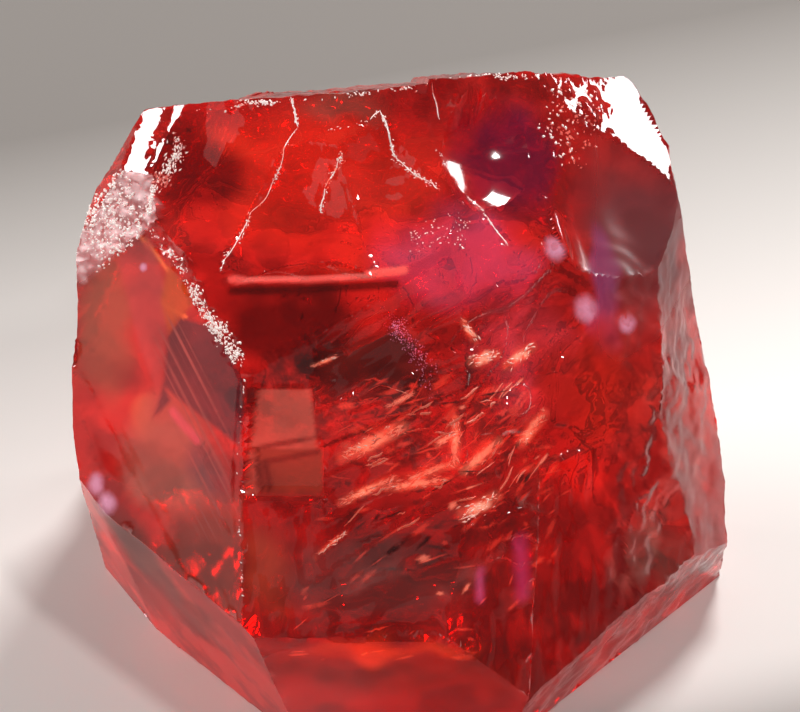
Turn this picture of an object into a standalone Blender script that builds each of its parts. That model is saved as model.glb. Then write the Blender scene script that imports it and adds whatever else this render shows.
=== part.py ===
"""A rough ruby crystal about 10 mm across, grown and broken as one piece.

The stone is a block of flat crystal facets, each one a plane at its own distance from the seed point in the
middle of the stone. Shell-shaped (conchoidal) scoops and straight growth ledges are then cut into the facets.
"""

import math

import bmesh
import bpy
from mathutils import Matrix, Vector

MM = 0.001

# Driving dimensions, in millimetres and degrees.
# The seed is the point that the facets grew from. It stands over the middle of the foot.
SEED = Vector((-0.02, 0.07, 4.2)) * MM
BLOCK_SIDE = 40 * MM
SCOOP_FINENESS = 5

# Each facet: the bearing that it faces (0 right, 90 back, 180 left, -90 front), its tilt above level,
# and its distance from the seed.
FACETS = {
    "front": (-90, 40, 2.60),
    "upper_front": (-105, 54, 2.80),
    "left_front": (-134, 31, 3.55),
    "frosted_corner": (-148, 37, 4.15),
    "bright_corner": (-155, 46, 4.45),
    "upper_left_bevel": (-175, 34, 5.15),
    "top": (98, 54, 4.50),
    "right_front": (-48, 32, 2.70),
    "upper_right_front": (-45, 44, 2.90),
    "lower_right_front": (-49, 25, 2.95),
    "right_edge": (-26, 20, 3.70),
    "bright_right_corner": (-21, 48, 3.90),
    "upper_right": (9, 7, 4.80),
    "right": (8, 1, 5.00),
    "lower_right_bevel": (-42, -17, 5.10),
    "foot_front": (-90, -9, 4.85),
    "lower_left_bevel": (-138, -17, 5.05),
    "lower_left_corner": (-149, -17, 5.25),
    "left": (178, -2, 5.15),
    "lower_left": (-176, -6, 5.25),
    "upper_left": (169, 10, 5.38),
    "top_left": (156, 23, 5.55),
    "back": (85, 12, 4.10),
    "back_left": (137, 7, 4.90),
    "back_right": (45, 1, 4.90),
    "back_foot": (82, -41, 4.05),
    "foot": (0, -90, 4.20),
}

# The shelf is the lip that stops the scoops above it: bearing, tilt and distance, as for a facet.
SHELF = (168, 83, 2.65)

# Each scoop: its facet, a point beside its middle, its width and its depth below the facet.
SCOOPS_ABOVE_SHELF = {
    "left_scoop": ("upper_front", (-3.1, 0.7, 7.6), 2.6, 0.26),
    "middle_scoop": ("upper_front", (-1.5, -0.2, 7.2), 2.7, 0.30),
    "inner_scoop": ("upper_front", (-0.3, 0.0, 7.6), 2.3, 0.25),
}
SCOOPS = {
    "rim_scoop": ("upper_front", (0.6, 0.7, 8.3), 1.9, 0.16),
    "dark_scoop": ("upper_right_front", (1.2, 0.7, 8.0), 1.8, 0.37),
    "shoulder_hollow": ("upper_right_front", (3.6, 1.0, 6.5), 3.0, 0.18),
    "edge_chip": ("right_edge", (4.8, 1.2, 4.6), 3.0, 0.18),
    "low_hollow": ("lower_right_front", (4.6, -1.9, 2.2), 2.6, 0.20),
    "left_hollow": ("left", (-5.1, 2.6, 4.4), 4.6, 0.40),
    "lower_left_hollow": ("left", (-5.1, 1.0, 1.4), 3.8, 0.30),
    "back_left_hollow": ("back_left", (-3.4, 3.8, 5.6), 4.6, 0.50),
    "back_left_chip": ("back_left", (-4.2, 3.0, 2.2), 4.0, 0.42),
    "back_right_hollow": ("back_right", (3.6, 3.6, 3.0), 4.6, 0.46),
    "back_right_chip": ("back_right", (4.0, 3.2, 5.7), 3.2, 0.32),
    "top_hollow": ("top", (2.6, 3.4, 7.2), 3.8, 0.30),
    "top_chip": ("top", (-3.4, 2.6, 6.6), 3.4, 0.26),
    "back_foot_hollow": ("back_foot", (-1.0, 3.2, 1.0), 5.0, 0.40),
    "back_foot_chip": ("back_foot", (3.0, 3.0, 1.0), 3.6, 0.32),
}

# Each ledge: its facet, how far it is let in, and the sides that bound it (bearing, tilt, distance).
# Only what lies beyond every side is let in.
LEDGES = {
    "growth_window": ("front", 0.05, [(-90, -50, 0.34), (90, 50, -2.00), (-5, -6, -2.15), (-176, -5, 1.40)]),
    "window_step": ("front", 0.09, [(-90, -50, 1.24), (90, 50, -1.96), (0, 0, -2.28), (180, 0, 1.20)]),
    "left_step": ("left", 0.09, [(160, 76, 1.50)]),
    "top_terrace": ("top", 0.08, [(178, 12, 0.60)]),
    "back_terrace": ("back", 0.16, [(60, -68, 0.60)]),
    "lower_back_terrace": ("back", 0.34, [(75, -72, 2.20)]),
    "right_ledge": ("lower_right_front", 0.06, [(-5, 0, 2.35)]),
}


def clear_scene():
    for old in list(bpy.data.objects):
        bpy.data.objects.remove(old, do_unlink=True)


def plane_at(bearing, tilt, distance_mm):
    """The outward normal and a point of a plane at this distance from the seed."""
    turn, rise = math.radians(bearing), math.radians(tilt)
    normal = Vector((math.cos(rise) * math.cos(turn), math.cos(rise) * math.sin(turn), math.sin(rise)))
    return normal, SEED + normal * distance_mm * MM


def cut_away(bm, normal, point):
    """Cut off what lies beyond the plane and close the cut with one face."""
    everything = bm.verts[:] + bm.edges[:] + bm.faces[:]
    cut = bmesh.ops.bisect_plane(bm, geom=everything, plane_co=point, plane_no=normal, clear_outer=True)
    rim = [part for part in cut["geom_cut"] if isinstance(part, bmesh.types.BMEdge)]
    if rim:
        bmesh.ops.contextual_create(bm, geom=rim)


def block_within(planes):
    """A bmesh block cut down to the space on the inner side of every plane."""
    bm = bmesh.new()
    bmesh.ops.create_cube(bm, size=BLOCK_SIDE, matrix=Matrix.Translation(SEED))
    for normal, point in planes:
        cut_away(bm, normal, point)
    return bm


def object_from(name, bm, smooth=False):
    bmesh.ops.recalc_face_normals(bm, faces=bm.faces[:])
    for face in bm.faces:
        face.smooth = smooth
    mesh = bpy.data.meshes.new(name)
    bm.to_mesh(mesh)
    bm.free()
    made = bpy.data.objects.new(name, mesh)
    bpy.context.collection.objects.link(made)
    return made


def scoop_cutter(name, facet, beside, width_mm, depth_mm, shelf=None):
    """A ball that sinks a dish of this width and depth into the facet, stopped by the shelf if there is one."""
    half_width, depth = width_mm * MM / 2, depth_mm * MM
    radius = (half_width**2 + depth**2) / (2 * depth)
    normal, point = plane_at(*FACETS[facet])
    beside = Vector(beside) * MM
    middle = beside - normal * normal.dot(beside - point)
    centre = middle + normal * (radius - depth)
    bm = bmesh.new()
    bmesh.ops.create_icosphere(
        bm, subdivisions=SCOOP_FINENESS, radius=radius, matrix=Matrix.Translation(centre)
    )
    if shelf is not None:
        shelf_normal, shelf_point = plane_at(*shelf)
        cut_away(bm, -shelf_normal, shelf_point)
    return object_from(name, bm, smooth=True)


def ledge_cutter(name, facet, depth_mm, sides):
    """A block that lets the facet in by this depth, on the outer side of every bounding side."""
    bearing, tilt, distance = FACETS[facet]
    floor = plane_at(bearing, tilt, distance - depth_mm)
    bounds = [floor] + [plane_at(*side) for side in sides]
    return object_from(name, block_within([(-normal, point) for normal, point in bounds]))


def cut(body, cutter):
    """Take the cutter out of the body with a Boolean modifier, and keep the cutter as a guide."""
    cutter.hide_render = True
    cutter.display_type = "WIRE"
    difference = body.modifiers.new(cutter.name, "BOOLEAN")
    difference.operation = "DIFFERENCE"
    difference.solver = "EXACT"
    difference.object = cutter


def ruby_material():
    """Deep red, clear corundum."""
    material = bpy.data.materials.new("ruby")
    material.use_nodes = True
    surface = material.node_tree.nodes["Principled BSDF"]
    surface.inputs["Base Color"].default_value = (0.72, 0.02, 0.05, 1)
    surface.inputs["Metallic"].default_value = 0
    surface.inputs["Roughness"].default_value = 0.06
    surface.inputs["IOR"].default_value = 1.77
    surface.inputs["Transmission Weight"].default_value = 1
    return material


def make_crystal():
    crystal = object_from("ruby_crystal", block_within([plane_at(*facet) for facet in FACETS.values()]))
    crystal.data.materials.append(ruby_material())
    for name, scoop in SCOOPS_ABOVE_SHELF.items():
        cut(crystal, scoop_cutter(name, *scoop, shelf=SHELF))
    for name, scoop in SCOOPS.items():
        cut(crystal, scoop_cutter(name, *scoop))
    for name, ledge in LEDGES.items():
        cut(crystal, ledge_cutter(name, *ledge))
    return crystal


clear_scene()
make_crystal()
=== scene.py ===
# %% [markdown]
# # A rough ruby crystal
# This lesson dresses one raw ruby, about ten millimetres across, that rests on a pale table.
# The solid it starts from has the facets, scoops and ledges of the stone. Here the same facets get what
# the eye looks for in a real crystal: chipped edges, growth lines, ripples in the broken faces, cracks
# inside, red that grows deeper with thickness, and soft studio light that wakes it all up.

# %% Load the frame
import math

import bpy
import numpy as np
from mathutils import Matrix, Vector


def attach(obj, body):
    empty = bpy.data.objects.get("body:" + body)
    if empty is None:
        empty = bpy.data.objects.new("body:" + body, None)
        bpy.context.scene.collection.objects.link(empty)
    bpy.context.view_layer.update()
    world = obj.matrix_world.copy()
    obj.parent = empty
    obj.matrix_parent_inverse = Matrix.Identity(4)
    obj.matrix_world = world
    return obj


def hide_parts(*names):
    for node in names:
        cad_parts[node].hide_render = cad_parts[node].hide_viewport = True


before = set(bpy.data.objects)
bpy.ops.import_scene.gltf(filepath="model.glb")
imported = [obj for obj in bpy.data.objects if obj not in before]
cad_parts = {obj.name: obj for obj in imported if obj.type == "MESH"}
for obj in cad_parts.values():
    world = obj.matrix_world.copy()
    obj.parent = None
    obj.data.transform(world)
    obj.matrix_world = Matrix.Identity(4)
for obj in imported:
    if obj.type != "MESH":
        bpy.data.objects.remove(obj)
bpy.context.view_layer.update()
MM = 0.001

# %% [markdown]
# ## The plan of the stone
# A crystal grows outwards from a seed, and every flat facet is a plane at its own distance from that seed.
# A broken face is a shallow dish, a piece of a ball. A growth ledge is a thin layer that stops at straight
# sides. So the whole stone can be written as a short list of planes and balls, in millimetres and degrees.

# %% The facets, scoops and ledges
SEED = np.array([-0.02, 0.07, 4.2])
# facet: the bearing that it faces (0 right, 90 back, 180 left, -90 front), its tilt, its distance
FACETS = {
    "front": (-90, 40, 2.60),
    "upper_front": (-105, 54, 2.80),
    "left_front": (-134, 31, 3.55),
    "frosted_corner": (-148, 37, 4.15),
    "bright_corner": (-155, 46, 4.45),
    "upper_left_bevel": (-175, 34, 5.15),
    "top": (98, 54, 4.50),
    "right_front": (-48, 32, 2.70),
    "upper_right_front": (-45, 44, 2.90),
    "lower_right_front": (-49, 25, 2.95),
    "right_edge": (-26, 20, 3.70),
    "bright_right_corner": (-21, 48, 3.90),
    "upper_right": (9, 7, 4.80),
    "right": (8, 1, 5.00),
    "lower_right_bevel": (-42, -17, 5.10),
    "foot_front": (-90, -9, 4.85),
    "lower_left_bevel": (-138, -17, 5.05),
    "lower_left_corner": (-149, -17, 5.25),
    "left": (178, -2, 5.15),
    "lower_left": (-176, -6, 5.25),
    "upper_left": (169, 10, 5.38),
    "top_left": (156, 23, 5.55),
    "back": (85, 12, 4.10),
    "back_left": (137, 7, 4.90),
    "back_right": (45, 1, 4.90),
    "back_foot": (82, -41, 4.05),
    "foot": (0, -90, 4.20),
}
# the lip that stops the scoops above it
SHELF = (168, 83, 2.65)
# scoop: its facet, a point beside its middle, its width, its depth, and whether the shelf stops it
SCOOPS = {
    "left_scoop": ("upper_front", (-3.1, 0.7, 7.6), 2.6, 0.26, True),
    "middle_scoop": ("upper_front", (-1.5, -0.2, 7.2), 2.7, 0.30, True),
    "inner_scoop": ("upper_front", (-0.3, 0.0, 7.6), 2.3, 0.25, True),
    "rim_scoop": ("upper_front", (0.6, 0.7, 8.3), 1.9, 0.16, False),
    "dark_scoop": ("upper_right_front", (1.2, 0.7, 8.0), 1.8, 0.37, False),
    "shoulder_hollow": ("upper_right_front", (3.6, 1.0, 6.5), 3.0, 0.18, False),
    "edge_chip": ("right_edge", (4.8, 1.2, 4.6), 3.0, 0.18, False),
    "low_hollow": ("lower_right_front", (4.6, -1.9, 2.2), 2.6, 0.20, False),
    "left_hollow": ("left", (-5.1, 2.6, 4.4), 4.6, 0.40, False),
    "lower_left_hollow": ("left", (-5.1, 1.0, 1.4), 3.8, 0.30, False),
    "back_left_hollow": ("back_left", (-3.4, 3.8, 5.6), 4.6, 0.50, False),
    "back_left_chip": ("back_left", (-4.2, 3.0, 2.2), 4.0, 0.42, False),
    "back_right_hollow": ("back_right", (3.6, 3.6, 3.0), 4.6, 0.46, False),
    "back_right_chip": ("back_right", (4.0, 3.2, 5.7), 3.2, 0.32, False),
    "top_hollow": ("top", (2.6, 3.4, 7.2), 3.8, 0.30, False),
    "top_chip": ("top", (-3.4, 2.6, 6.6), 3.4, 0.26, False),
    "back_foot_hollow": ("back_foot", (-1.0, 3.2, 1.0), 5.0, 0.40, False),
    "back_foot_chip": ("back_foot", (3.0, 3.0, 1.0), 3.6, 0.32, False),
}
# ledge: its facet, how far it is let in, and the planes of its sides. A ray from the seed enters the ledge
# through a side at a distance above 0 and leaves it through one below 0
LEDGES = {
    "growth_window": (
        "front", 0.05, [(-90, -50, 0.34), (90, 50, -2.00), (-5, -6, -2.15), (-176, -5, 1.40)],
    ),
    "window_step": (
        "front", 0.09, [(-90, -50, 1.24), (90, 50, -1.96), (0, 0, -2.28), (180, 0, 1.20)],
    ),
    "left_step": ("left", 0.09, [(160, 76, 1.50)]),
    "top_terrace": ("top", 0.08, [(178, 12, 0.60)]),
    "back_terrace": ("back", 0.16, [(60, -68, 0.60)]),
    "lower_back_terrace": ("back", 0.34, [(75, -72, 2.20)]),
    "right_ledge": ("lower_right_front", 0.06, [(-5, 0, 2.35)]),
}
print(len(FACETS), "facets,", len(SCOOPS), "scoops,", len(LEDGES), "ledges")

# %% [markdown]
# ## The surface, seen from the seed
# Stand on the seed and look out in any direction: the ray meets the stone's skin once. So the whole skin is
# one function, the reach in each direction. A plane at distance q with normal n is met at q / (n . d).
# A dish is met where the ray enters its ball. The skin is the nearest of all these meetings.

# %% Where a ray from the seed meets each shape
FAR = 1e3
EDGE_ON = 1e-9


def toward(bearing, tilt):
    """The unit vector with this bearing and tilt: (cos t cos b, cos t sin b, sin t)."""
    turn, rise = math.radians(bearing), math.radians(tilt)
    return np.array([math.cos(rise) * math.cos(turn), math.cos(rise) * math.sin(turn), math.sin(rise)])


def enter_plane(rays, bearing, tilt, distance):
    """Distance along each ray to the plane: q / (n . d), or far away where the ray leans from it."""
    lean = rays @ toward(bearing, tilt)
    meets = lean * distance > EDGE_ON
    return np.where(meets, distance / np.where(meets, lean, 1), FAR)


def enter_ball(rays, centre, radius):
    """Distance along each ray to the ball: b - sqrt(b^2 - c^2 + r^2), with b the centre's share along it."""
    along = rays @ centre
    inside = along**2 - centre @ centre + radius**2
    hit = (inside > 0) & (along > 0)
    return np.where(hit, along - np.sqrt(np.where(hit, inside, 0)), FAR)


def dish(facet, beside, width, depth):
    """The ball, as (centre, radius), that sinks a dish of this width and depth into a facet."""
    bearing, tilt, distance = FACETS[facet]
    normal = toward(bearing, tilt)
    radius = (width**2 / 4 + depth**2) / (2 * depth)
    beside = np.array(beside) - SEED
    return beside + normal * (distance - normal @ beside + radius - depth), radius


def skins(rays):
    """All the meetings: one column for each facet, then the scoops, the shelf in each, and the ledges."""
    found = [enter_plane(rays, *facet) for facet in FACETS.values()]
    for facet, beside, width, depth, on_shelf in SCOOPS.values():
        ball = enter_ball(rays, *dish(facet, beside, width, depth))
        if on_shelf:
            lip = enter_plane(rays, *SHELF)
            found.append(np.where(lip <= ball, ball, FAR))
            found.append(np.where((lip > ball) & (ball < FAR), lip, FAR))
        else:
            found.append(ball)
    for facet, depth, sides in LEDGES.values():
        bearing, tilt, distance = FACETS[facet]
        walls = [enter_plane(rays, bearing, tilt, distance - depth)]
        leaves = np.full(len(rays), FAR)
        for side_bearing, side_tilt, side_distance in sides:
            met = enter_plane(rays, side_bearing, side_tilt, side_distance)
            if side_distance > 0:
                walls.append(met)
            else:
                leaves = np.minimum(leaves, met)
        entry = np.max(walls, axis=0)
        owner = np.argmax(walls, axis=0)
        for index in range(len(walls)):
            found.append(np.where((owner == index) & (entry < leaves), entry, FAR))
    return np.stack(found, axis=1)


def reach(rays):
    """The distance to the skin along each ray, and the number of the shape that it belongs to."""
    found = skins(rays)
    nearest = found.argmin(axis=1)
    return found[np.arange(len(rays)), nearest], nearest


# %% [markdown]
# ## A grid that follows the edges
# Six square grids of two angles wrap the seed like the sides of a cube. Their points are spread evenly,
# with no pole. A crystal edge rarely falls on a grid point, so the points nearest to an edge slide onto
# it, and each square is split along the diagonal that lies closer to the skin. That keeps edges crisp.

# %% The grid of directions
GRID = 128
EDGE_ROUNDS = 2


def cube_grid(cells):
    """Directions on the six sides of a cube, (tan u, tan v, 1) with u and v from -45 to 45 degrees."""
    angle = np.tan(np.linspace(-np.pi / 4, np.pi / 4, cells + 1))
    u, v = np.meshgrid(angle, angle, indexing="ij")
    side = np.stack([u, v, np.ones_like(u)], axis=-1).reshape(-1, 3)
    number = np.arange((cells + 1) ** 2).reshape(cells + 1, cells + 1)
    square = np.stack([number[:-1, :-1], number[1:, :-1], number[1:, 1:], number[:-1, 1:]], axis=-1)
    square = square.reshape(-1, 4)
    points, squares = [], []
    for turn in ((0, 1, 2), (1, 2, 0), (2, 0, 1)):
        for sign in (1, -1):
            points.append((side * (1, sign, sign))[:, turn])
            squares.append(square + len(side) * len(squares))
    points, squares = np.concatenate(points), np.concatenate(squares)
    _, first, same = np.unique(points.round(7), axis=0, return_index=True, return_inverse=True)
    points = points[first]
    return points / np.linalg.norm(points, axis=1, keepdims=True), same.reshape(-1)[squares]


rays, squares = cube_grid(GRID)
print(len(rays), "directions and", len(squares), "squares")


# %% Slide points onto the edges
def unit(vectors):
    return vectors / np.linalg.norm(vectors, axis=-1, keepdims=True)


def onto_edges(rays, squares, held, halvings=10, step_off=0.04):
    """Where two neighbours see different shapes, halve the gap until the edge between them is found, and
    move the nearer neighbour there. Held points stay, and are judged a small step towards their neighbour.
    Returns the moved rays and which of them lie on an edge."""
    pairs = np.concatenate([squares[:, [0, 1]], squares[:, [1, 2]], squares[:, [2, 3]], squares[:, [3, 0]]])
    pairs = np.concatenate([pairs, squares[:, [0, 2]], squares[:, [1, 3]]]) if held.any() else pairs
    pairs = np.unique(np.sort(pairs, axis=1), axis=0)
    pairs = pairs[~(held[pairs[:, 0]] & held[pairs[:, 1]])]
    start, end = rays[pairs[:, 0]], rays[pairs[:, 1]]
    low = np.where(held[pairs[:, 0]], step_off, 0)
    high = np.where(held[pairs[:, 1]], 1 - step_off, 1)

    def seen(share):
        return reach(unit(start + (end - start) * share[:, None]))[1]

    first = seen(low)
    differ = first != seen(high)
    pairs, start, end, low, high, first = (part[differ] for part in (pairs, start, end, low, high, first))
    for _ in range(halvings):
        middle = (low + high) / 2
        same = seen(middle) == first
        low, high = np.where(same, middle, low), np.where(same, high, middle)
    crossing = (low + high) / 2
    place = unit(start + (end - start) * crossing[:, None])
    nearer = np.where(crossing < 0.5, pairs[:, 0], pairs[:, 1])
    mover = np.where(held[pairs[:, 0]], pairs[:, 1], np.where(held[pairs[:, 1]], pairs[:, 0], nearer))
    moved = np.zeros_like(rays)
    count = np.zeros(len(rays))
    np.add.at(moved, mover, place)
    np.add.at(count, mover, 1)
    on_edge = count > 0
    result = rays.copy()
    result[on_edge] = unit(moved[on_edge])
    return result, on_edge | held


on_edge = np.zeros(len(rays), bool)
for _ in range(EDGE_ROUNDS):
    rays, on_edge = onto_edges(rays, squares, on_edge)
length, owner = reach(rays)
print(on_edge.sum(), "points lie on crystal edges")


# %% Split each square along its better diagonal
def split(rays, length, squares):
    """Two triangles for each square, along the diagonal whose middle lies closer to the skin."""
    corner = rays * length[:, None]
    off = []
    for a, b in ((0, 2), (1, 3)):
        middle = (corner[squares[:, a]] + corner[squares[:, b]]) / 2
        far = np.linalg.norm(middle, axis=1)
        off.append(np.abs(far - reach(middle / far[:, None])[0]))
    first = (off[0] <= off[1])[:, None]
    half = np.where(first, squares[:, [0, 1, 2]], squares[:, [0, 1, 3]])
    other = np.where(first, squares[:, [0, 2, 3]], squares[:, [1, 2, 3]])
    return np.concatenate([half, other])


triangles = split(rays, length, squares)
print(len(triangles), "triangles")

# %% [markdown]
# ## Random fields
# Nature is never even, so the skin needs noise. Two kinds do all the work here. Ripples are sine waves that
# run in random directions. Grains are the distances to random points, which look like crumbs and pits.
# Both are worked out for all the points at once, and a fixed seed gives the same stone each time.

# %% Ripples, grains and masks
def ripples(points, size, seed, count=14):
    """A smooth random field of about this wavelength: a sum of sines along random directions, spread 1."""
    random = np.random.default_rng(seed)
    waves = unit(random.normal(size=(count, 3))) * random.uniform(0.7, 1.5, (count, 1)) * 2 * np.pi / size
    return np.sin(points @ waves.T + random.uniform(0, 2 * np.pi, count)).sum(axis=1) / math.sqrt(count / 2)


def broken(points, size, seed, octaves=4):
    """Ripples on ripples: every octave has half the wavelength and half the height of the one before."""
    return sum(ripples(points, size / 2**octave, seed + octave) / 2**octave for octave in range(octaves))


def scatter(lattice, seed):
    """Three random shares from 0 to 1 for each lattice corner: the loose end of a very steep sine."""
    mix = np.array([[127.1, 269.5, 113.5], [311.7, 183.3, 271.9], [74.7, 246.1, 124.6]])
    return np.modf(np.abs(np.sin(lattice @ mix + seed) * 43758.5453))[0]


def grains(points, size, seed):
    """Distance, in grain sizes, to the nearest of the random points, one in each cube of a lattice."""
    place = points / size
    cell = np.floor(place)
    nearest = np.full(len(points), 9.0)
    for x in (-1, 0, 1):
        for y in (-1, 0, 1):
            for z in (-1, 0, 1):
                corner = cell + (x, y, z)
                nearest = np.minimum(nearest, ((corner + scatter(corner, seed) - place) ** 2).sum(axis=1))
    return np.sqrt(nearest)


def fade(value, full, none):
    """1 at the value full, 0 at none, and a smooth step between: s^2 (3 - 2 s)."""
    share = np.clip((value - none) / (full - none), 0, 1)
    return share**2 * (3 - 2 * share)


def from_path(points, path):
    """Distance from a path of straight runs."""
    path = np.array(path, float)
    nearest = np.full(len(points), FAR)
    for start, end in zip(path[:-1], path[1:]):
        run = end - start
        share = np.clip((points - start) @ run / (run @ run), 0, 1)
        nearest = np.minimum(nearest, np.linalg.norm(points - start - share[:, None] * run, axis=1))
    return nearest


def terraces(value, softness):
    """Stairs of height 1 whose risers take this share of each tread."""
    tread = np.floor(value)
    return tread + fade(value - tread, 0.5 + softness / 2, 0.5 - softness / 2)


# %% Name the shape under each point
SHAPES = list(FACETS)
for name, (*_, on_shelf) in SCOOPS.items():
    SHAPES += [name, "shelf"] if on_shelf else [name]
for name, (_, _, sides) in LEDGES.items():
    SHAPES += [name] + [name + "_side"] * sum(distance > 0 for *_, distance in sides)
shape = np.array(SHAPES)[owner]
skin = SEED + rays * length[:, None]

# every side of every triangle whose far end lies inside a shape
ENDS = np.concatenate([triangles[:, [0, 1]], triangles[:, [1, 2]], triangles[:, [2, 0]]])
ENDS = ENDS[~on_edge[ENDS[:, 1]]]
INNER_NEIGHBOURS = np.bincount(ENDS[:, 0], minlength=len(rays))


def settle(values):
    """Give each point on an edge the mean of its inner neighbours, so that no border is ragged."""
    columns = values.reshape(len(values), -1)
    sums = [np.bincount(ENDS[:, 0], column[ENDS[:, 1]], len(rays)) for column in columns.T]
    moves = (on_edge & (INNER_NEIGHBOURS > 0))[:, None]
    means = np.stack(sums, axis=1) / np.maximum(INNER_NEIGHBOURS, 1)[:, None]
    return np.where(moves, means, columns).reshape(values.shape)


def on(*names):
    """1 at the points of these shapes, 0 elsewhere, and between the two on a shared edge."""
    return settle(np.isin(shape, names) * 1.0)


print(len(set(SHAPES)), "shapes meet at", on_edge.sum(), "points")

# %% [markdown]
# ## Places chosen in the camera's view
# A broken edge or a crack goes where it looks right from the front. So its points are chosen in the camera's
# view, as steps right and down in a frame of 800 by 712, and only those are written down. The script walks
# from the camera along each line of sight until it is inside the stone, then halves the last step until it
# stands on the skin. So every mark lies on the stone, whichever side it is seen from.
# The camera faces the front squarely, so that steps in the view are steps on the front.

# %% From the view to the skin
VIEW_WIDTH, VIEW_HEIGHT = 800, 712
FRAME_WIDTH = 12.25
FRONT_BEARING, FRONT_TILT, _ = FACETS["front"]
CAMERA_DISTANCE = 80
TARGET = np.array([-0.054, -1.82, 5.988])
CAMERA = TARGET + toward(FRONT_BEARING, FRONT_TILT) * CAMERA_DISTANCE
RIGHT = np.array([1.0, 0, 0])
FRONT_UP = np.array([0, math.sin(math.radians(FRONT_TILT)), math.cos(math.radians(FRONT_TILT))])
# the walk starts and ends this far before and behind the target
WALK_REACH = 10
WALK_STEPS = 400
WALK_HALVINGS = 12
WALK = np.linspace(CAMERA_DISTANCE - WALK_REACH, CAMERA_DISTANCE + WALK_REACH, WALK_STEPS)


def in_stone(points):
    """Whether each point lies in the stone: whether it is nearer to the seed than the skin is."""
    away = points - SEED
    return np.linalg.norm(away, axis=1) < reach(unit(away))[0]


def skin_at(places):
    """The points of the skin at these places of the view: the first step of each walk that is inside the
    stone, halved down to the skin."""
    right, down = ((np.array(places) - (VIEW_WIDTH / 2, VIEW_HEIGHT / 2)) * FRAME_WIDTH / VIEW_WIDTH).T
    sight = unit(TARGET + right[:, None] * RIGHT - down[:, None] * FRONT_UP - CAMERA)
    walked = CAMERA + sight[:, None] * WALK[:, None]
    first = in_stone(walked.reshape(-1, 3)).reshape(len(sight), -1).argmax(axis=1)
    assert first.all(), f"a place lies beside the stone: {places}"
    before, beyond = WALK[first - 1], WALK[first]
    for _ in range(WALK_HALVINGS):
        middle = (before + beyond) / 2
        entered = in_stone(CAMERA + sight * middle[:, None])
        before, beyond = np.where(entered, before, middle), np.where(entered, middle, beyond)
    return CAMERA + sight * beyond[:, None]


print("the middle of the view meets the skin at", skin_at([(400, 356)])[0].round(2), "mm")

# %% [markdown]
# ## Lines that catch the light
# The sharpest things on the stone are broken edges: the hinge where the left face meets the front, and the
# ridges between the scoops. They are bruised to tiny chips that sparkle. Their places are written down
# once, because the pits in the skin and the splinters on it both follow them.

# %% Bruised edges
HINGE = skin_at([(140, 215), (165, 247), (178, 262), (195, 292), (208, 318), (225, 340), (238, 360)])
LOWER_HINGE = skin_at([(245, 380), (238, 450), (237, 490), (243, 600)])
GROWTH_LINES = skin_at([(175, 345), (207, 455), (214, 510)])
LONG_RIDGE = skin_at([(292, 100), (298, 128), (275, 180), (250, 215), (220, 272)])
SHORT_RIDGE = skin_at([(342, 157), (325, 188), (320, 213)])
CROWN_RIDGE = skin_at([(325, 131), (370, 120), (380, 110), (395, 158), (430, 182), (440, 190)])
SCOOP_RIM = skin_at([(455, 83), (430, 122), (435, 150), (485, 215), (508, 246)])
TOP_RIM = skin_at([(196, 110), (262, 103), (340, 97), (420, 88), (500, 77), (540, 78)])
TOP_NOTCH = skin_at([(432, 82), (440, 120)])
CORNER_RIM = skin_at([(180, 140), (160, 180), (148, 214)])
CORNER_GROOVE = skin_at([(168, 112), (150, 155), (140, 185)])
# fine pink lines on the front, and a magenta seam below the heart
FRONT_LINES = [
    skin_at([(345, 345), (355, 332), (365, 320), (385, 308)]),
    skin_at([(368, 391), (380, 385), (394, 389), (410, 395)]),
]
SEAM = skin_at([(385, 308), (402, 335), (425, 365), (430, 395)])
BRIGHT_LINES = [LONG_RIDGE, SHORT_RIDGE, CROWN_RIDGE[1:], SCOOP_RIM[3:], TOP_NOTCH]
print(len(HINGE), "points along the hinge, from", HINGE[0].round(2), "to", HINGE[-1].round(2), "mm")

# %% [markdown]
# ## Relief
# Every kind of face gets the relief that made it. Grown faces sway a little and carry fine lines. Broken
# faces carry ripples round the place that was struck, and steps. One corner is frosted. Relief moves a
# point along its own ray, so the skin can't fold over itself, and the flat foot is left alone.

# %% Directions on the front
STREAK_RISE = 24
GROWTH_RISE = 28
STREAK_STRETCH = 4


def slanted(rise):
    """The unit vector on the front face that rises to the right by this angle."""
    return math.cos(math.radians(rise)) * RIGHT + math.sin(math.radians(rise)) * FRONT_UP


STREAK = slanted(STREAK_RISE)
ACROSS = slanted(STREAK_RISE + 90)
ACROSS_GROWTH = slanted(GROWTH_RISE)
print("streaks on the broken front run along", STREAK.round(2))


# %% Fields that run one way
def streak_field(points, size, seed, octaves):
    """A broken field drawn out along the direction of the streaks."""
    out = toward(FRONT_BEARING, FRONT_TILT)
    drawn = np.stack([points @ STREAK / STREAK_STRETCH, points @ ACROSS, points @ out], axis=1)
    return broken(drawn, size, seed, octaves)


def lines(points, across, size, seed):
    """Straight parallel grooves: ripples of one coordinate, the one that runs across them."""
    return ripples(np.outer(points @ across, [1, 0, 0]), size, seed)


def struck(points, place, spacing, seed, bend=0.12):
    """Rings round the place of a blow, bent a little by ripples: sin(2 pi d / spacing)."""
    distance = np.linalg.norm(points - np.array(place), axis=1) + bend * ripples(points, 1.2, seed)
    return np.sin(2 * np.pi * distance / spacing)


# %% Where the stone was struck and bruised
# scoop: the place of the blow that made it
BLOWS = {
    "left_scoop": (-2.4, 1.6, 8.3),
    "middle_scoop": (-1.4, 1.0, 8.2),
    "inner_scoop": (-0.2, 1.0, 8.3),
    "dark_scoop": (1.4, 1.4, 8.4),
    "shoulder_hollow": (4.2, 1.2, 7.0),
}
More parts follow.
